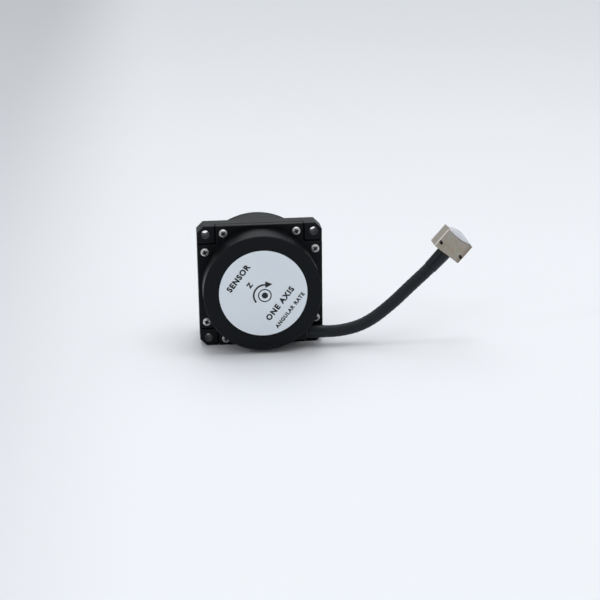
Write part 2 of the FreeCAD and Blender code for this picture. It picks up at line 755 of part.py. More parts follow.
def connector_boot():
    """Heat-shrink boot from the lead up to the connector's face."""
    tail = lead_tube(BOOT_TAIL_R)
    window = moved(local_box(20, 20, -BOOT_LEN, -BOOT_CONE))
    tail = tail.common(window)
    cone = moved(Part.makeCone(BOOT_TAIL_R, BOOT_R, BOOT_CONE, V(0, 0, -BOOT_CONE), Z_AXIS))
    return tail.fuse(cone).cut(lead_tube(CABLE_D / 2)).removeSplitter()


def dust_cap():
    """Domed plastic cap whose hollow skirt sits inside the connector's mouth."""
    chord = SCOOP_CHORD - 2 * CAP_CLEAR
    head = lens(chord, CAP_RISE, SCOOP_DEPTH - CAP_CLEAR, CAP_D, CONN_L)
    skirt_w = 11.0
    skirt_d = CONN_D - 2 * CONN_WALL - 2 * CAP_CLEAR
    skirt_end = CONN_L - SCOOP_DEPTH - CAP_SKIRT
    skirt = local_box(skirt_w, skirt_d, skirt_end, CONN_L)
    hollow = local_box(skirt_w - 2 * CAP_WALL, skirt_d - 2 * CAP_WALL, skirt_end - 1, CONN_L - 0.6)
    return moved(head.fuse(skirt).cut(hollow).removeSplitter())


PARTS = {
    "base_housing": base_housing,
    "front_cover": front_cover,
    "front_gasket": front_gasket,
    "rear_cover": rear_cover,
    "rear_gasket": rear_gasket,
    "cover_screws": cover_screws,
    "rear_cover_screws": rear_cover_screws,
    "label_disc": label,
    "shield_cup": shield_cup,
    "shield_lid": shield_lid,
    "coil_spool": coil_spool,
    "fibre_coil": fibre_coil,
    "spool_screws": spool_screws,
    "phase_modulator": phase_modulator,
    "fibre_coupler": fibre_coupler,
    "splice_sleeves": splice_sleeves,
    "fibre_slack": fibre_slack,
    "board_standoffs": board_standoffs,
    "board_spacers": board_spacers,
    "signal_board": signal_board,
    "power_board": power_board,
    "board_screws": board_screws,
    "light_source": light_source,
    "photodetector": photodetector,
    "signal_processor": signal_processor,
    "converter_chips": converter_chips,
    "board_link": board_link,
    "power_module": power_module,
    "filter_capacitors": filter_capacitors,
    "clock_crystal": clock_crystal,
    "lead_header": lead_header,
    "lead_plug": lead_plug,
    "lead_wires": lead_wires,
    "cable": cable,
    "cable_grommet": cable_grommet,
    "cable_sleeve": cable_sleeve,
    "connector_boot": connector_boot,
    "connector_shell": connector_shell,
    "connector_screws": connector_screws,
    "connector_potting": connector_potting,
    "connector_insert": connector_insert,
    "connector_pins": connector_pins,
    "dust_cap": dust_cap,
}


def report_lead():
    path, radii = lead_path(LEAD_ROUTE)
    print("lead radii, mm:", ", ".join("%.1f" % r for r in radii))
    section = math.pi * (CABLE_D / 2) ** 2
    print("lead length %.1f mm, volume %.1f against %.1f mm3"
          % (path.Length, cable().Volume, section * path.Length))
    axis = mating_axis()
    print("mating axis %.9f %.9f %.9f" % (axis.x, axis.y, axis.z))


def main():
    os.makedirs("parts", exist_ok=True)
    for name, make in PARTS.items():
        shape = make()
        if not shape.isValid():
            print("not valid:", name)
        shape.exportStep("parts/" + name + ".step")
        print(name, len(shape.Solids), "solids", round(shape.Volume, 1), "mm3")
    report_lead()


main()
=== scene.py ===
import json
import math

import bmesh
import bpy
from mathutils import Matrix, Vector


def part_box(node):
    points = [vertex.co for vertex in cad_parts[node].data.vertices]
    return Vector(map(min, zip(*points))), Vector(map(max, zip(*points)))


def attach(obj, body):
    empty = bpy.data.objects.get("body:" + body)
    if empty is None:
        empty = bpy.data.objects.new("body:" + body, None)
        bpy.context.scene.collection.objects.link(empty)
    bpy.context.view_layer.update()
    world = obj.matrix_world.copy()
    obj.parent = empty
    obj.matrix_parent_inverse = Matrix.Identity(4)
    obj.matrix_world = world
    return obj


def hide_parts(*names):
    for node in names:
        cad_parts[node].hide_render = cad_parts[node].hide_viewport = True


# A single-axis fibre-optic gyroscope module on a pale table. Metres, in the CAD model's frame:
# X right, Y away from the camera along the sensing axis, Z up from the table.

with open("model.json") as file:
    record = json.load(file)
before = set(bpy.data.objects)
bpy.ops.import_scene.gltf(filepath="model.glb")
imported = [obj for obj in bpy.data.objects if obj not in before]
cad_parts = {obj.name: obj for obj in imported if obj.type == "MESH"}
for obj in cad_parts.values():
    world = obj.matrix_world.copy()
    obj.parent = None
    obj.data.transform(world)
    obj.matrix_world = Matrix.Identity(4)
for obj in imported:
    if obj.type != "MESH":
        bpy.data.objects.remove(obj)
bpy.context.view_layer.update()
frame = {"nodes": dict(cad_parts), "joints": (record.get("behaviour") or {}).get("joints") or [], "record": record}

MM = 0.001
NODES = frame["nodes"]
MATING_AXIS = Vector(frame["joints"][0]["axis"]).normalized()

# ---- the camera's view ----
CAMERA_AT = Vector((-45.6, -679.3, 241.4)) * MM
CAMERA_AIM = Vector((19.5, -0.4, 20.2)) * MM
CAMERA_ROLL = math.radians(0.69)
CAMERA_LENS = 87.75
CAMERA_SHIFT_Y = -1 / 600

# ---- the lead ----
LEAD_ROUTE = [
    (0.0120, -0.0120, 0.0074),
    (0.0240, -0.0120, 0.0074),
    (0.0370, -0.0120, 0.0066),
    (0.0504, -0.0118, 0.0098),
    (0.0628, -0.0112, 0.0189),
    (0.0729, -0.0102, 0.0282),
    (0.0837, -0.0091, 0.0376),
    (0.0901, -0.0096, 0.0452),
]
CORE_D = 5.3 * MM               # jacket under the braid
INTO_SHELL = 1.5 * MM           # the lead runs this far into the connector

BRAID_R = 2.84 * MM             # middle of the braid's thickness at the housing
BRAID_SPREAD = 0.14 * MM        # how much wider it is at the connector
BRAID_CARRIERS = 12             # ribbons wound each way
BRAID_PITCH = 17.0 * MM
BRAID_LIFT = 0.07 * MM          # how far a ribbon rises and dips as it weaves
BRAID_TUCK = 1.0 * MM           # how far it runs under the heat-shrink at each end
BRAID_STEP = 0.3 * MM
RIBBON_WIDTH = 1.05 * MM
RIBBON_THICK = 0.13 * MM
# A ribbon's section: share of its half width, and height as a share of its thickness.
RIBBON_SECTION = ((-1, -0.5), (-0.6, 0.35), (0, 0.5), (0.6, 0.35), (1, -0.5))

SLEEVE_START = 9.8 * MM         # distances along the lead from its first point
SLEEVE_END = 18.5 * MM
SLEEVE_R = 3.08 * MM
SLEEVE_ROUNDING = 0.18 * MM     # how much thinner the sleeve is at its very ends
BOOT_LENGTH = 10.5 * MM         # from the connector's face back along the lead
BOOT_R = 3.32 * MM
BOOT_SWELL = 0.28 * MM          # how much thicker it is at the connector
BOOT_ROUNDING = 0.2 * MM        # how much thinner it is at its very end
BOOT_RIPPLE = 0.03 * MM
RIPPLE_LENGTH = 1.1 * MM
SHRINK_EDGE = 0.5 * MM          # length over which heat-shrink rounds off at an end

# ---- places on the housing ----
MID_Z = 30.0 * MM               # height of the sensing axis
SCREW_NEAR = 17.5               # the cover screws' distances from the two centre lines, in millimetres
SCREW_FAR = 26.5
SCREW_TOP_Y = -7.275 * MM
RECESS_START = 0.05 * MM        # a recess is painted dark, as painted shade, from this depth on
RECESS_R = 1.28 * MM
SHADE_FULL_R = 1.0 * MM               # painted shade darkens the heads' tops fully out to here
SHADE_EDGE_R = 1.6 * MM             # and fades out at this radius
HOLE_PLACE = 26.0               # the corner holes' distance from both centre lines, in millimetres
HOLE_R = 2.04 * MM              # a hair more than the holes' own radius

# ---- the connector, on its own axes: X wide, Y deep, Z to the mating end, as part.py places them ----
CONN_W = 16.3 * MM
CONN_D = 6.8 * MM
CONN_ROLL = math.radians(8.5)
POCKET_BOTTOM = 0.3 * MM        # the screw pockets lie between these heights
POCKET_TOP = 5 * MM
POCKET_SKIN = 0.12 * MM         # a pocket is painted dark, as painted shade, from this depth on
POCKET_SIDE = 0.2 * MM          # and this far from the shell's ends
HIGHLIGHT_START = 0.42 * MM          # distances from a long edge at which the painted highlight starts and is full
HIGHLIGHT_FULL = 0.26 * MM

# Patches in the plating: noise scale per metre, noise at their edge and middle, strength, colour.
PLATE_STAINS = [
    (420, 0.50, 0.66, 0.5, (0.26, 0.26, 0.16)),     # green
    (300, 0.52, 0.68, 0.5, (0.40, 0.28, 0.20)),     # brown
    (240, 0.52, 0.68, 0.5, (0.37, 0.37, 0.36)),     # grey
]

# ---- the label's print, in millimetres on the label ----
LABEL_TURN = math.radians(52)   # the lettering reads up to the right at this angle
PRINT_LIFT = 0.03 * MM
MARK_X = 0.7                    # centre of the axis mark
MARK_Z = -1.03
DOT_R = 1.5
RING_OUTER_R = 3.27
RING_INNER_R = 2.72
ARROW_R = 5.3
ARROW_WIDTH = 0.82
ARROW_START = 219               # degrees, anticlockwise from the right
ARROW_END = 82
ARROW_BARB = 1.65
CAPITAL_HEIGHT = 0.7            # of a capital, as a share of the font's size
LETTER_SPACE = 1.08
LETTER_WEIGHT = 0.075           # how far strokes are thickened, as a share of the height
# Name, words, place, height of a capital and extra spacing of each piece of lettering.
LABEL_WORDS = [
    ("axis_letter", "Z", -6.3, 4.17, 2.3, 1.0),
    ("label_line_upper", "SENSOR", -11.6, 7.77, 2.65, 1.09),
    ("label_line_lower", "ONE AXIS", 7.9, -5.43, 2.6, 1.14),
    ("label_line_small", "ANGULAR RATE", 12.6, -8.93, 1.75, 1.12),
]

# ---- table and light ----
TABLE_REACH = 40.0
TABLE_SHADOW_SPAN = (-0.04, -0.20)     # painted shadow: the table darkens between these places along X
LAMP_DISTANCE = 1.2
# Name, direction from +Y towards +X and height in degrees, width and power of each lamp.
LAMPS = [
    ("overhead", 20, 84, 0.35, 1.65),
    ("right_lamp", 100, 62, 0.5, 1.75),
    ("front_lamp", 205, 48, 0.6, 0.83),
    ("back_lamp", -8, 46, 0.25, 0.12),
    ("left_lamp", 248, 33, 0.14, 0.8),
]
LIGHT_TINT = (0.965, 0.982, 1.0)
SKY_GLOW = 0.455                # the same all round
SKY_LOBES = [                   # (direction, sharpness, strength)
    ((0, 0, 1), 2, 0.07),
    ((0, 1, 0.35), 4, 0.05),
    ((0, 1, 1.6), 10, 2.27),
]
BACKDROP = (0.875, 0.895, 0.93)  # what the camera sees past the table

# ---- plain finishes ----
COOL = (0.82, 0.91, 1.0)        # bluish gloss of the black finishes
# Dark tone, light tone, metallic, roughness (low, high), grain per metre, bump (strength, depth in mm),
# then, where they differ from surface()'s own, specular level, cloud scale per metre and gloss tint.
FINISHES = {
    "black_anodised": ((0.0032, 0.0035, 0.0044), (0.0046, 0.0050, 0.0062), 0.0, (0.38, 0.46), 5200,
                       (0.15, 0.02), 0.145, 60.0, COOL),
    "screw_steel": ((0.66, 0.66, 0.65), (0.78, 0.78, 0.77), 1.0, (0.46, 0.56), 3000, (0.12, 0.02)),
    "screw_black": ((0.02, 0.02, 0.022), (0.035, 0.035, 0.037), 0.3, (0.35, 0.5), 3000, (0.15, 0.02)),
    "label_film": ((0.785, 0.85, 0.91), (0.81, 0.87, 0.93), 0.0, (0.42, 0.5), 1500, (0.05, 0.01), 0.4),
    "label_ink": ((0.012, 0.014, 0.017), (0.02, 0.022, 0.026), 0.0, (0.5, 0.6), 2500, (0.08, 0.01), 0.3),
    "seal_rubber": ((0.010, 0.010, 0.011), (0.016, 0.016, 0.017), 0.0, (0.6, 0.75), 2200,
                    (0.3, 0.03), 0.35),
    "shield_alloy": ((0.34, 0.34, 0.35), (0.45, 0.45, 0.46), 1.0, (0.35, 0.5), 1800, (0.15, 0.02)),
    "spool_alloy": ((0.62, 0.62, 0.64), (0.72, 0.72, 0.74), 1.0, (0.28, 0.4), 2400, (0.12, 0.02)),
    "coated_fibre": ((0.52, 0.36, 0.14), (0.66, 0.48, 0.22), 0.0, (0.3, 0.4), 3500, (0.5, 0.05)),
    "gold_package": ((0.72, 0.51, 0.20), (0.84, 0.62, 0.28), 1.0, (0.25, 0.35), 2600, (0.1, 0.01)),
    "splice_steel": ((0.5, 0.5, 0.52), (0.62, 0.62, 0.64), 1.0, (0.3, 0.4), 2600, (0.1, 0.01)),
    "standoff_brass": ((0.6, 0.43, 0.17), (0.72, 0.53, 0.24), 1.0, (0.3, 0.42), 2600, (0.1, 0.02)),
    "board_green": ((0.010, 0.075, 0.030), (0.016, 0.10, 0.042), 0.0, (0.32, 0.42), 900, (0.15, 0.03)),
    "chip_epoxy": ((0.016, 0.016, 0.017), (0.024, 0.024, 0.025), 0.0, (0.5, 0.62), 4200, (0.25, 0.02)),
    "capacitor_can": ((0.58, 0.58, 0.6), (0.7, 0.7, 0.72), 1.0, (0.3, 0.4), 2600, (0.1, 0.01)),
    "white_nylon": ((0.68, 0.65, 0.58), (0.76, 0.73, 0.66), 0.0, (0.4, 0.5), 1800, (0.12, 0.02)),
    "wire_insulation": ((0.45, 0.04, 0.03), (0.55, 0.06, 0.04), 0.0, (0.4, 0.5), 2200, (0.1, 0.01)),
    "cable_core": ((0.009, 0.009, 0.010), (0.014, 0.014, 0.015), 0.0, (0.5, 0.6), 2500, (0.2, 0.02), 0.3),
    "cable_braid": ((0.008, 0.009, 0.011), (0.015, 0.016, 0.019), 0.0, (0.34, 0.46), 6000,
                    (0.2, 0.01), 0.35, 900, COOL),
    "heat_shrink": ((0.0045, 0.005, 0.0065), (0.008, 0.0088, 0.011), 0.0, (0.30, 0.42), 1400,
                    (0.25, 0.03), 0.3, 60.0, COOL),
    "potting_epoxy": ((0.02, 0.02, 0.02), (0.03, 0.03, 0.03), 0.0, (0.3, 0.4), 1500, (0.1, 0.02)),
    "insert_plastic": ((0.02, 0.07, 0.055), (0.03, 0.09, 0.07), 0.0, (0.4, 0.5), 2500, (0.1, 0.01)),
    "gold_contact": ((0.72, 0.51, 0.20), (0.84, 0.62, 0.28), 1.0, (0.2, 0.3), 2600, (0.05, 0.01)),
}
# Nodes whose own paint differs from their slot's.
OWN_PAINT = {"base_housing": "housing_black", "cover_screws": "cover_screw_steel"}


# ---- small helpers ----
def new_object(name, data):
    """Object that belongs to the module's body."""
    obj = bpy.data.objects.new(name, data)
    bpy.context.scene.collection.objects.link(obj)
    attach(obj, "module")
    return obj


def mesh_object(name, verts, faces, material):
    mesh = bpy.data.meshes.new(name)
    mesh.from_pydata([tuple(v) for v in verts], [], faces)
    mesh.update()
    mesh.shade_smooth()
    mesh.materials.append(material)
    obj = new_object(name, mesh)
    return obj


def mesh_from(curve):
    """The mesh that a curve or a text makes."""
    probe = bpy.data.objects.new("probe", curve)
    bpy.context.scene.collection.objects.link(probe)
    bpy.context.view_layer.update()
    mesh = bpy.data.meshes.new_from_object(probe.evaluated_get(bpy.context.evaluated_depsgraph_get()))
    bpy.data.objects.remove(probe)
    return mesh


def paint(node, material):
    """Give a CAD node one material."""
    mesh = NODES[node].data
    mesh.materials.clear()
    mesh.materials.append(material)


# ---- shader nodes ----
def node_material(name):
    material = bpy.data.materials.new(name)
    material.use_nodes = True
    nodes = material.node_tree.nodes
    return material, nodes, material.node_tree.links, nodes["Principled BSDF"]


def object_noise(nodes, links, scale, detail=3.0):
    """Noise in the part's own coordinates."""
    coords = nodes.new("ShaderNodeTexCoord")
    noise = nodes.new("ShaderNodeTexNoise")
    noise.inputs["Scale"].default_value = scale
    noise.inputs["Detail"].default_value = detail
    noise.inputs["Roughness"].default_value = 0.5
    links.new(coords.outputs["Object"], noise.inputs["Vector"])
    return noise.outputs["Fac"]


def add_bump(nodes, links, shader, source, strength, distance):
    bump = nodes.new("ShaderNodeBump")
    bump.inputs["Strength"].default_value = strength
    bump.inputs["Distance"].default_value = distance
    links.new(source, bump.inputs["Height"])
    links.new(bump.outputs["Normal"], shader.inputs["Normal"])


def vary(nodes, links, source, low, high, target):
    """Drive a number between two values from noise, which keeps mostly to its middle."""
    spread = nodes.new("ShaderNodeMapRange")
    spread.inputs["From Min"].default_value = 0.3
    spread.inputs["From Max"].default_value = 0.7
    spread.inputs["To Min"].default_value = low
    spread.inputs["To Max"].default_value = high
    links.new(source, spread.inputs["Value"])
    links.new(spread.outputs["Result"], target)


def two_tone(nodes, links, source, dark, light, target):
    mix = nodes.new("ShaderNodeMix")
    mix.data_type = "RGBA"
    mix.inputs["A"].default_value = (*dark, 1)
    mix.inputs["B"].default_value = (*light, 1)
    links.new(source, mix.inputs["Factor"])
    links.new(mix.outputs["Result"], target)


def maths(nodes, links, operation, first, second=0.0):
    """One Math node. Each input is a number or another node's output."""
    node = nodes.new("ShaderNodeMath")
    node.operation = operation
    for socket, value in zip(node.inputs, (first, second)):
        if isinstance(value, (int, float)):
            socket.default_value = value
        else:
            links.new(value, socket)
    return node.outputs[0]


def all_of(nodes, links, masks):
    """Product of several masks."""
    product = masks[0]
    for mask in masks[1:]:
        product = maths(nodes, links, "MULTIPLY", product, mask)
    return product


def distance_2d(nodes, links, first, second):
    squares = [maths(nodes, links, "POWER", side, 2) for side in (first, second)]
    return maths(nodes, links, "SQRT", maths(nodes, links, "ADD", *squares))


def ramp(nodes, links, source, start, end, kind="SMOOTHSTEP"):
    """0 at start and 1 at end, which may be the smaller of the two."""
    node = nodes.new("ShaderNodeMapRange")
    node.interpolation_type = kind
    node.inputs["From Min"].default_value = start
    node.inputs["From Max"].default_value = end
    links.new(source, node.inputs["Value"])
    return node.outputs["Result"]


def place_in_part(nodes, links):
    """X, Y and Z of the place that is shaded."""
    split = nodes.new("ShaderNodeSeparateXYZ")
    links.new(nodes.new("ShaderNodeTexCoord").outputs["Object"], split.inputs[0])
    return split.outputs["X"], split.outputs["Y"], split.outputs["Z"]


def corner_distance(nodes, links, near, far):
    """Distance from the nearest of the places that lie near and far (mm) from the flange's centre lines.

    The places are mirrored and swapped, so one pair covers all the holes or screws of its kind.
    Returns that distance and the Y coordinate, both in metres."""
    x, y, z = place_in_part(nodes, links)
    across = maths(nodes, links, "ABSOLUTE", x)
    height = maths(nodes, links, "ABSOLUTE", maths(nodes, links, "SUBTRACT", z, MID_Z))
    larger = maths(nodes, links, "MAXIMUM", across, height)
    smaller = maths(nodes, links, "MINIMUM", across, height)
    reach = distance_2d(nodes, links, maths(nodes, links, "SUBTRACT", larger, far * MM),
                        maths(nodes, links, "SUBTRACT", smaller, near * MM))
    return reach, y


def along_axis(nodes, links, axis, origin):
    """Signed distance from the origin along an axis, in metres."""
    coords = nodes.new("ShaderNodeTexCoord")
    dot = nodes.new("ShaderNodeVectorMath")
    dot.operation = "DOT_PRODUCT"
    dot.inputs[1].default_value = axis
    links.new(coords.outputs["Object"], dot.inputs[0])
    return maths(nodes, links, "SUBTRACT", dot.outputs["Value"], axis.dot(origin))


def patch(nodes, links, shader, mask, colour, rough):
    """Change colour and roughness where the mask is 1."""
    # A Mix node keeps the sockets of every data type, so those of this type go by number.
    for name, kind, first, second, result, value in (
            ("Base Color", "RGBA", 6, 7, 2, (*colour, 1)), ("Roughness", "FLOAT", 2, 3, 0, rough)):
        socket = shader.inputs[name]
        source = socket.links[0].from_socket
        mix = nodes.new("ShaderNodeMix")
        mix.data_type = kind
        links.new(mask, mix.inputs[0])
        links.new(source, mix.inputs[first])
        mix.inputs[second].default_value = value
        links.new(mix.outputs[result], socket)


def stain(nodes, links, shader, mask, share, colour, rough=0.5):
    """Tint part of a surface: the mask gives the place, share how strongly."""
    patch(nodes, links, shader, maths(nodes, links, "MULTIPLY", mask, share), colour, rough)


# ---- materials ----
def surface(name, dark, light, metallic, rough, grain, bump, specular=0.5, cloud=60.0, tint=(1, 1, 1)):
    """General material: two close tones, a varied roughness and a fine grain.

    rough is (low, high), grain the noise scale per metre, and bump is (strength, depth in mm)."""
    material, nodes, links, shader = node_material(name)
    clouds = object_noise(nodes, links, cloud)
    fine = object_noise(nodes, links, grain, detail=2.0)
    two_tone(nodes, links, clouds, dark, light, shader.inputs["Base Color"])
    vary(nodes, links, clouds, rough[0], rough[1], shader.inputs["Roughness"])
    add_bump(nodes, links, shader, fine, bump[0], bump[1] * MM)
    shader.inputs["Metallic"].default_value = metallic
    shader.inputs["Specular IOR Level"].default_value = specular
    shader.inputs["Specular Tint"].default_value = (*tint, 1)
    return material


def make_materials():
    made = {name: surface(name, *finish) for name, finish in FINISHES.items()}
    made["nickel_plate"] = nickel_plate()
    made["table"] = table_surface()
    made["frosted_plastic"] = frosted_plastic()
    # housing_black: the black finish with a painted reflection in the corner-hole bores
    made["housing_black"] = made["black_anodised"].copy()
    paint_bore_reflection(made["housing_black"])
    # cover_screw_steel: steel with painted shade in and round the cross recesses
    made["cover_screw_steel"] = made["screw_steel"].copy()
    shade_screw_heads(made["cover_screw_steel"])
    return made


def shade_screw_heads(material):
    """Painted shade on the cover screws: the cross recesses are painted dark, and the metal round them darker and
    duller.
    """
    nodes, links = material.node_tree.nodes, material.node_tree.links
    shader = nodes["Principled BSDF"]
    reach, depth = corner_distance(nodes, links, SCREW_NEAR, SCREW_FAR)
    # painted shade: the heads' tops darken towards the recess
    painted_shade = ramp(nodes, links, reach, SHADE_EDGE_R, SHADE_FULL_R, "LINEAR")
    patch(nodes, links, shader, painted_shade, (0.36, 0.36, 0.36), 0.5)
    # painted shade: the sunk parts of the cross recesses are painted dark
    inside = maths(nodes, links, "LESS_THAN", reach, RECESS_R)
    sunk = maths(nodes, links, "GREATER_THAN", depth, SCREW_TOP_Y + RECESS_START)
    patch(nodes, links, shader, all_of(nodes, links, [inside, sunk]), (0.07, 0.07, 0.073), 0.6)


def paint_bore_reflection(material):
    """Painted reflection: the corner holes' bores are painted grey, as the black walls would reflect bright light
    at grazing angles.
    """
    nodes, links = material.node_tree.nodes, material.node_tree.links
    reach, _ = corner_distance(nodes, links, HOLE_PLACE, HOLE_PLACE)
    # painted reflection: the bores are painted grey
    mask = maths(nodes, links, "LESS_THAN", reach, HOLE_R)
    patch(nodes, links, nodes["Principled BSDF"], mask, (0.10, 0.105, 0.115), 0.5)


def connector_axes():
    """Rotation matrix whose columns are the connector's X, Y and Z."""
    about_y = Matrix.Rotation(math.atan2(MATING_AXIS.x, MATING_AXIS.z), 3, "Y")
    about_x = Matrix.Rotation(-math.asin(MATING_AXIS.y), 3, "X")
    return about_y @ about_x @ Matrix.Rotation(CONN_ROLL, 3, "Z")


def nickel_plate():
    """Plated shell: stained in patches and darker towards its right end, with painted light on its −X end face,
    painted shade in its screw pockets and a painted highlight along its long edges.
    """
    material = surface("nickel_plate", (0.285, 0.262, 0.215), (0.385, 0.345, 0.30),
                       1.0, (0.34, 0.46), 4200, (0.22, 0.015), 0.5, 170)
    nodes, links = material.node_tree.nodes, material.node_tree.links
    shader = nodes["Principled BSDF"]
    origin = Vector(LEAD_ROUTE[-1]) - MATING_AXIS * INTO_SHELL
    turn = connector_axes()
    across = along_axis(nodes, links, turn.col[0], origin)
    beside = maths(nodes, links, "ABSOLUTE", across)
    deep = maths(nodes, links, "ABSOLUTE", along_axis(nodes, links, turn.col[1], origin))
    height = along_axis(nodes, links, turn.col[2], origin)
    for scale, start, end, share, colour in PLATE_STAINS:
        noise = object_noise(nodes, links, scale, detail=4.0)
        stain(nodes, links, shader, ramp(nodes, links, noise, start, end), share, colour)
    # darker towards the shell's right end
    right_end_darkening = ramp(nodes, links, across, 0.30 * CONN_W, 0.5 * CONN_W)
    stain(nodes, links, shader, right_end_darkening, 0.6, (0.19, 0.13, 0.115))
    # painted light: the shell's −X end face is painted lighter where light from the upper left falls on it
    lit_end_face = ramp(nodes, links, across, -0.496 * CONN_W, -0.4995 * CONN_W)
    stain(nodes, links, shader, lit_end_face, 0.6, (0.62, 0.58, 0.53), 0.42)
    # painted shade: the insides of the screw pockets are painted dark
    pocket_shade = all_of(nodes, links, [
        maths(nodes, links, "LESS_THAN", deep, CONN_D / 2 - POCKET_SKIN),
        maths(nodes, links, "GREATER_THAN", height, POCKET_BOTTOM),
        maths(nodes, links, "LESS_THAN", height, POCKET_TOP),
        maths(nodes, links, "LESS_THAN", beside, CONN_W / 2 - POCKET_SIDE),
    ])
    patch(nodes, links, shader, pocket_shade, (0.015, 0.015, 0.016), 0.6)
    from_edge = distance_2d(nodes, links, maths(nodes, links, "SUBTRACT", beside, CONN_W / 2),
                            maths(nodes, links, "SUBTRACT", deep, CONN_D / 2))
    # painted highlight: a bright warm band along the shell's long edges
    edge_highlight = ramp(nodes, links, from_edge, HIGHLIGHT_START, HIGHLIGHT_FULL)
    patch(nodes, links, shader, edge_highlight, (1.0, 0.93, 0.84), 0.46)
    return material


def table_surface():
    """Pale matte table with a painted shadow that makes it a little darker far to the left."""
    material = surface("table", (0.815, 0.83, 0.857), (0.83, 0.845, 0.872),
                       0.0, (0.55, 0.65), 700, (0.03, 0.02), 0.2, 6.0)
    nodes, links = material.node_tree.nodes, material.node_tree.links
    # painted shadow: the table is painted darker far to the left
    painted_shadow = ramp(nodes, links, place_in_part(nodes, links)[0], *TABLE_SHADOW_SPAN)
    patch(nodes, links, nodes["Principled BSDF"], painted_shadow, (0.60, 0.612, 0.635), 0.6)
    return material


def frosted_plastic():
    """Milky translucent polyethylene."""
    material, nodes, links, shader = node_material("frosted_plastic")
    clouds = object_noise(nodes, links, 420, detail=2.0)
    two_tone(nodes, links, clouds, (0.88, 0.88, 0.94), (0.97, 0.97, 1.0), shader.inputs["Base Color"])
    vary(nodes, links, clouds, 0.35, 0.5, shader.inputs["Roughness"])
    add_bump(nodes, links, shader, clouds, 0.25, 0.05 * MM)
    shader.inputs["Transmission Weight"].default_value = 0.55
    shader.inputs["IOR"].default_value = 1.4
    return material


# ---- the camera ----
def add_camera():
    data = bpy.data.cameras.new("camera")
    data.lens = CAMERA_LENS
    data.sensor_width = 36
    data.shift_y = CAMERA_SHIFT_Y
    data.clip_start = 0.01
    camera = bpy.data.objects.new("camera", data)
    bpy.context.scene.collection.objects.link(camera)
    look = (CAMERA_AIM - CAMERA_AT).to_track_quat("-Z", "Y")
    turn = look.to_matrix().to_4x4() @ Matrix.Rotation(-CAMERA_ROLL, 4, "Z")
    camera.matrix_world = Matrix.Translation(CAMERA_AT) @ turn
    bpy.context.scene.camera = camera


# ---- the lead ----
def route_curve(name):
    """The lead's route as one smooth NURBS spline."""
    curve = bpy.data.curves.new(name, "CURVE")
    curve.dimensions = "3D"
    curve.resolution_u = 24
    spline = curve.splines.new("NURBS")
    spline.points.add(len(LEAD_ROUTE) - 1)
    for point, place in zip(spline.points, LEAD_ROUTE):
        point.co = (*place, 1)
    spline.order_u = 3
    spline.use_endpoint_u = True
    return curve


def read_line(curve):
    """Points along a curve that has no bevel."""
    mesh = mesh_from(curve)
    line = [v.co.copy() for v in mesh.vertices]
    bpy.data.meshes.remove(mesh)
    return line


class Track:
    """A line measured by distance, with a frame at each place that doesn't twist."""

    def __init__(self, line):
        self.line = line
        self.along = [0.0]
        for a, b in zip(line, line[1:]):
            self.along.append(self.along[-1] + (b - a).length)
        self.length = self.along[-1]

    def place(self, distance):
        distance = min(max(distance, 0.0), self.length)
        i = 1
        while i < len(self.along) - 1 and self.along[i] < distance:
            i += 1
        a, b = self.line[i - 1], self.line[i]
        span = self.along[i] - self.along[i - 1]
        return a.lerp(b, (distance - self.along[i - 1]) / span)

    def heading(self, distance):
        step = 0.4 * MM
        return (self.place(distance + step) - self.place(distance - step)).normalized()

    def frames(self, start, end, step):
        """(distance, place, side, up) at even steps, each side carried on from the last."""
        count = max(2, round((end - start) / step) + 1)
        side = Vector((0, 1, 0))
        found = []
        for i in range(count):
            distance = start + (end - start) * i / (count - 1)
            heading = self.heading(distance)
            side = (side - heading * side.dot(heading)).normalized()
            found.append((distance, self.place(distance), side.copy(), heading.cross(side)))
        return found


def close_tube(faces, base, rows, around):
    """Add the skin and both end faces of a tube whose rows of points start at base."""
    for i in range(rows - 1):
        for k in range(around):
            a = base + i * around + k
            b = base + i * around + (k + 1) % around
            faces.append((a, b, b + around, a + around))
    last = base + (rows - 1) * around
    faces.append(tuple(reversed(range(base, base + around))))
    faces.append(tuple(range(last, last + around)))


def off_axis(place, side, up, angle, radius):
    """Point beside the lead's middle at an angle round it."""
    return place + (side * math.cos(angle) + up * math.sin(angle)) * radius


def tube_along(name, track, start, end, radius_at, material, step=0.35 * MM, around=48):
    """Closed tube skin along the track, with a radius that changes with distance and angle."""
    verts, faces = [], []
    rows = track.frames(start, end, step)
    for distance, place, side, up in rows:
        for k in range(around):
            angle = 2 * math.pi * k / around
            verts.append(off_axis(place, side, up, angle, radius_at(distance, angle)))
    close_tube(faces, 0, len(rows), around)
    return mesh_object(name, verts, faces, material)


def braid(track, start, end, material):
    """Woven sleeve: flat ribbons wound both ways, each passing over and under the others."""
    verts, faces = [], []
    rows = track.frames(start, end, BRAID_STEP)
    half = RIBBON_WIDTH / 2 / BRAID_R
    for turn in (1, -1):
        for carrier in range(BRAID_CARRIERS):
            offset = 2 * math.pi * carrier / BRAID_CARRIERS
            close_tube(faces, len(verts), len(rows), len(RIBBON_SECTION))
            for distance, place, side, up in rows:
                wound = 2 * math.pi * (distance - start) / BRAID_PITCH
                weave = math.cos(BRAID_CARRIERS * wound + carrier * math.pi)
                spread = BRAID_SPREAD * (distance - start) / (end - start)
                middle = BRAID_R + spread + turn * BRAID_LIFT * weave
                for across, rise in RIBBON_SECTION:
                    angle = offset + turn * wound + across * half
                    verts.append(off_axis(place, side, up, angle, middle + rise * RIBBON_THICK))
    return mesh_object("cable_braid", verts, faces, material)


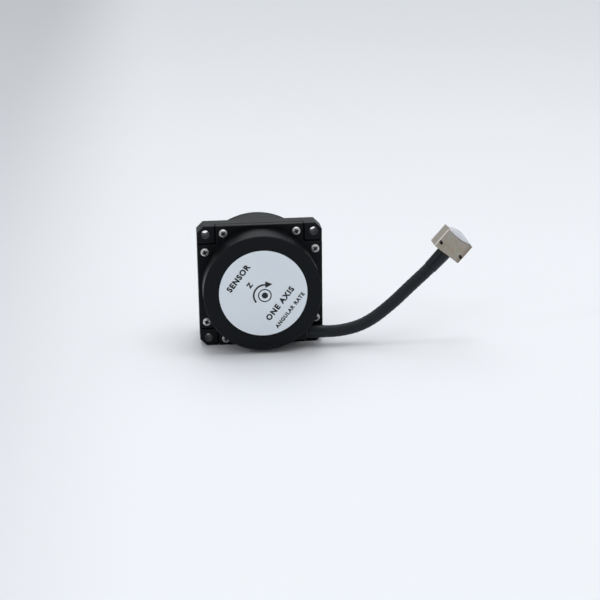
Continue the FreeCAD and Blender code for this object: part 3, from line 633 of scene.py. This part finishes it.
def sleeve_radius(distance, angle):
    """Heat-shrink at the housing: even, with soft rounded ends."""
    from_end = min(distance - SLEEVE_START, SLEEVE_END - distance) / SHRINK_EDGE
    rounding = 1 - math.sqrt(max(0.0, 1 - min(1.0, max(0.0, 1 - from_end)) ** 2))
    return SLEEVE_R - SLEEVE_ROUNDING * rounding


def boot_radius_from(track):
    """Heat-shrink at the connector: swells towards the shell, with faint rings."""
    face = track.length - INTO_SHELL

    def radius(distance, angle):
        back = face - distance
        share = min(1.0, max(0.0, 1 - back / BOOT_LENGTH))
        swell = share * share * (3 - 2 * share)
        ripple = math.sin(back / RIPPLE_LENGTH) * (0.5 + 0.5 * math.sin(angle * 3))
        tail = min(1.0, max(0.0, 1 - (BOOT_LENGTH - back) / SHRINK_EDGE))
        return BOOT_R + BOOT_SWELL * swell + BOOT_RIPPLE * ripple - BOOT_ROUNDING * tail * tail
    return radius


def build_lead(paints):
    track = Track(read_line(route_curve("lead_line")))
    curve = route_curve("cable_core")
    curve.bevel_depth = CORE_D / 2
    curve.bevel_resolution = 8
    curve.use_fill_caps = True
    curve.materials.append(paints["cable_core"])
    core = new_object("cable_core", curve)
    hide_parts("cable")
    face = track.length - INTO_SHELL
    sleeve = tube_along("lead_heat_shrink", track, SLEEVE_START, SLEEVE_END, sleeve_radius,
                        paints["heat_shrink"])
    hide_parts("cable_sleeve")
    boot = tube_along("connector_heat_shrink", track, face - BOOT_LENGTH, face,
                      boot_radius_from(track), paints["heat_shrink"])
    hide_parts("connector_boot")
    woven = braid(track, SLEEVE_END - BRAID_TUCK, face - BOOT_LENGTH + BRAID_TUCK, paints["cable_braid"])


# ---- the label's print ----
def label_place(x=0.0, z=0.0):
    """Place a little in front of the label, in millimetres from its middle."""
    low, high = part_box("label_disc")
    return Vector(((low.x + high.x) / 2 + x * MM, low.y - PRINT_LIFT, (low.z + high.z) / 2 + z * MM))


def lay_on_label(name, curve, at, turn, paints):
    """Turn a flat curve or text into a thin mesh that lies on the label."""
    mesh = mesh_from(curve)
    mesh.name = name
    upright = Matrix.Rotation(math.radians(90), 4, "X")
    mesh.transform(Matrix.Translation(at) @ upright @ Matrix.Rotation(turn, 4, "Z"))
    mesh.materials.clear()
    mesh.materials.append(paints["label_ink"])
    new_object(name, mesh)


def print_shape(name, rings, paints):
    """Flat printed shape from closed outlines in label millimetres, the first one outer."""
    curve = bpy.data.curves.new(name, "CURVE")
    curve.dimensions = "2D"
    curve.fill_mode = "BOTH"
    for outline in rings:
        spline = curve.splines.new("POLY")
        spline.points.add(len(outline) - 1)
        for point, (x, z) in zip(spline.points, outline):
            point.co = (x * MM, z * MM, 0, 1)
        spline.use_cyclic_u = True
    lay_on_label(name, curve, label_place(), 0.0, paints)


def round_point(radius, angle):
    """Point round the axis mark's centre."""
    return MARK_X + radius * math.cos(angle), MARK_Z + radius * math.sin(angle)


def circle_outline(radius, count=64):
    return [round_point(radius, 2 * math.pi * i / count) for i in range(count)]


def arrow_outline(count=48):
    """Outline of the arrow's curved stroke."""
    angles = [math.radians(ARROW_START + (ARROW_END - ARROW_START) * i / count) for i in range(count + 1)]
    outer = [round_point(ARROW_R + ARROW_WIDTH / 2, angle) for angle in angles]
    inner = [round_point(ARROW_R - ARROW_WIDTH / 2, angle) for angle in angles]
    return outer + inner[::-1]


def add_axis_mark(paints):
    """Dot in a ring for the sensing axis, and a clockwise arrow round it."""
    print_shape("axis_dot", [circle_outline(DOT_R)], paints)
    print_shape("axis_ring", [circle_outline(RING_OUTER_R), circle_outline(RING_INNER_R)], paints)
    print_shape("turn_arrow_arc", [arrow_outline()], paints)
    tip = (MARK_X + 3.7, MARK_Z + ARROW_R + 0.2)
    x, z = MARK_X + 0.3, MARK_Z + ARROW_R + 0.05
    print_shape("turn_arrow_head", [[tip, (x, z + ARROW_BARB), (x, z - ARROW_BARB)]], paints)


def add_words(name, words, x, z, height, stretch, paints):
    """Generic lettering centred on a place on the label."""
    text = bpy.data.curves.new(name, "FONT")
    text.body = words
    text.size = height * MM / CAPITAL_HEIGHT
    text.space_character = LETTER_SPACE * stretch
    text.align_x = "CENTER"
    text.align_y = "CENTER"
    text.resolution_u = 6
    text.offset = LETTER_WEIGHT * height * MM
    lay_on_label(name, text, label_place(x, z), LABEL_TURN, paints)


def add_label_print(paints):
    add_axis_mark(paints)
    for lettering in LABEL_WORDS:
        add_words(*lettering, paints)


# ---- table and light ----
def add_table(paints):
    mesh = bpy.data.meshes.new("table")
    build = bmesh.new()
    bmesh.ops.create_grid(build, x_segments=2, y_segments=2, size=TABLE_REACH)
    build.to_mesh(mesh)
    build.free()
    mesh.materials.append(paints["table"])
    table = bpy.data.objects.new("table", mesh)
    bpy.context.scene.collection.objects.link(table)


def add_lamp(name, azimuth, height, width, power):
    """Round soft light that points at the part."""
    light = bpy.data.lights.new(name, "AREA")
    light.shape = "DISK"
    light.size = width
    light.energy = power
    light.color = LIGHT_TINT
    lamp = bpy.data.objects.new(name, light)
    bpy.context.scene.collection.objects.link(lamp)
    turn, rise = math.radians(azimuth), math.radians(height)
    away = Vector((math.sin(turn) * math.cos(rise), math.cos(turn) * math.cos(rise), math.sin(rise)))
    lamp.matrix_world = (Matrix.Translation(away * LAMP_DISTANCE)
                         @ (-away).to_track_quat("-Z", "Y").to_matrix().to_4x4())


def sky_lobe(nodes, links, coords, direction, sharpness, strength):
    """Soft patch of sky light around one direction."""
    dot = nodes.new("ShaderNodeVectorMath")
    dot.operation = "DOT_PRODUCT"
    dot.inputs[1].default_value = Vector(direction).normalized()
    links.new(coords, dot.inputs[0])
    front = maths(nodes, links, "MAXIMUM", dot.outputs["Value"], 0.0)
    return maths(nodes, links, "MULTIPLY", maths(nodes, links, "POWER", front, sharpness), strength)


def add_sky():
    """Sky that lights the part, and a plain backdrop in its place for the camera."""
    world = bpy.data.worlds.new("studio")
    bpy.context.scene.world = world
    world.use_nodes = True
    nodes, links = world.node_tree.nodes, world.node_tree.links
    coords = nodes.new("ShaderNodeTexCoord").outputs["Generated"]
    glow = SKY_GLOW
    for lobe in SKY_LOBES:
        glow = maths(nodes, links, "ADD", glow, sky_lobe(nodes, links, coords, *lobe))
    sky = nodes["Background"]
    sky.inputs["Color"].default_value = (*LIGHT_TINT, 1)
    links.new(glow, sky.inputs["Strength"])
    plain = nodes.new("ShaderNodeBackground")
    plain.inputs["Color"].default_value = (*BACKDROP, 1)
    seen = nodes.new("ShaderNodeLightPath")
    mix = nodes.new("ShaderNodeMixShader")
    links.new(seen.outputs["Is Camera Ray"], mix.inputs[0])
    links.new(sky.outputs[0], mix.inputs[1])
    links.new(plain.outputs[0], mix.inputs[2])
    links.new(mix.outputs[0], nodes["World Output"].inputs["Surface"])


def set_colour():
    settings = bpy.context.scene.view_settings
    settings.view_transform = "Standard"
    settings.look = "None"
    settings.exposure = 0.0


def main():
    add_camera()
    paints = make_materials()
    build_lead(paints)
    for entry in frame["record"]["subparts"]:
        paint(entry["node"], paints[OWN_PAINT.get(entry["node"], entry["material_slot"])])
    add_label_print(paints)
    add_table(paints)
    add_sky()
    for lamp in LAMPS:
        add_lamp(*lamp)
    set_colour()


main()
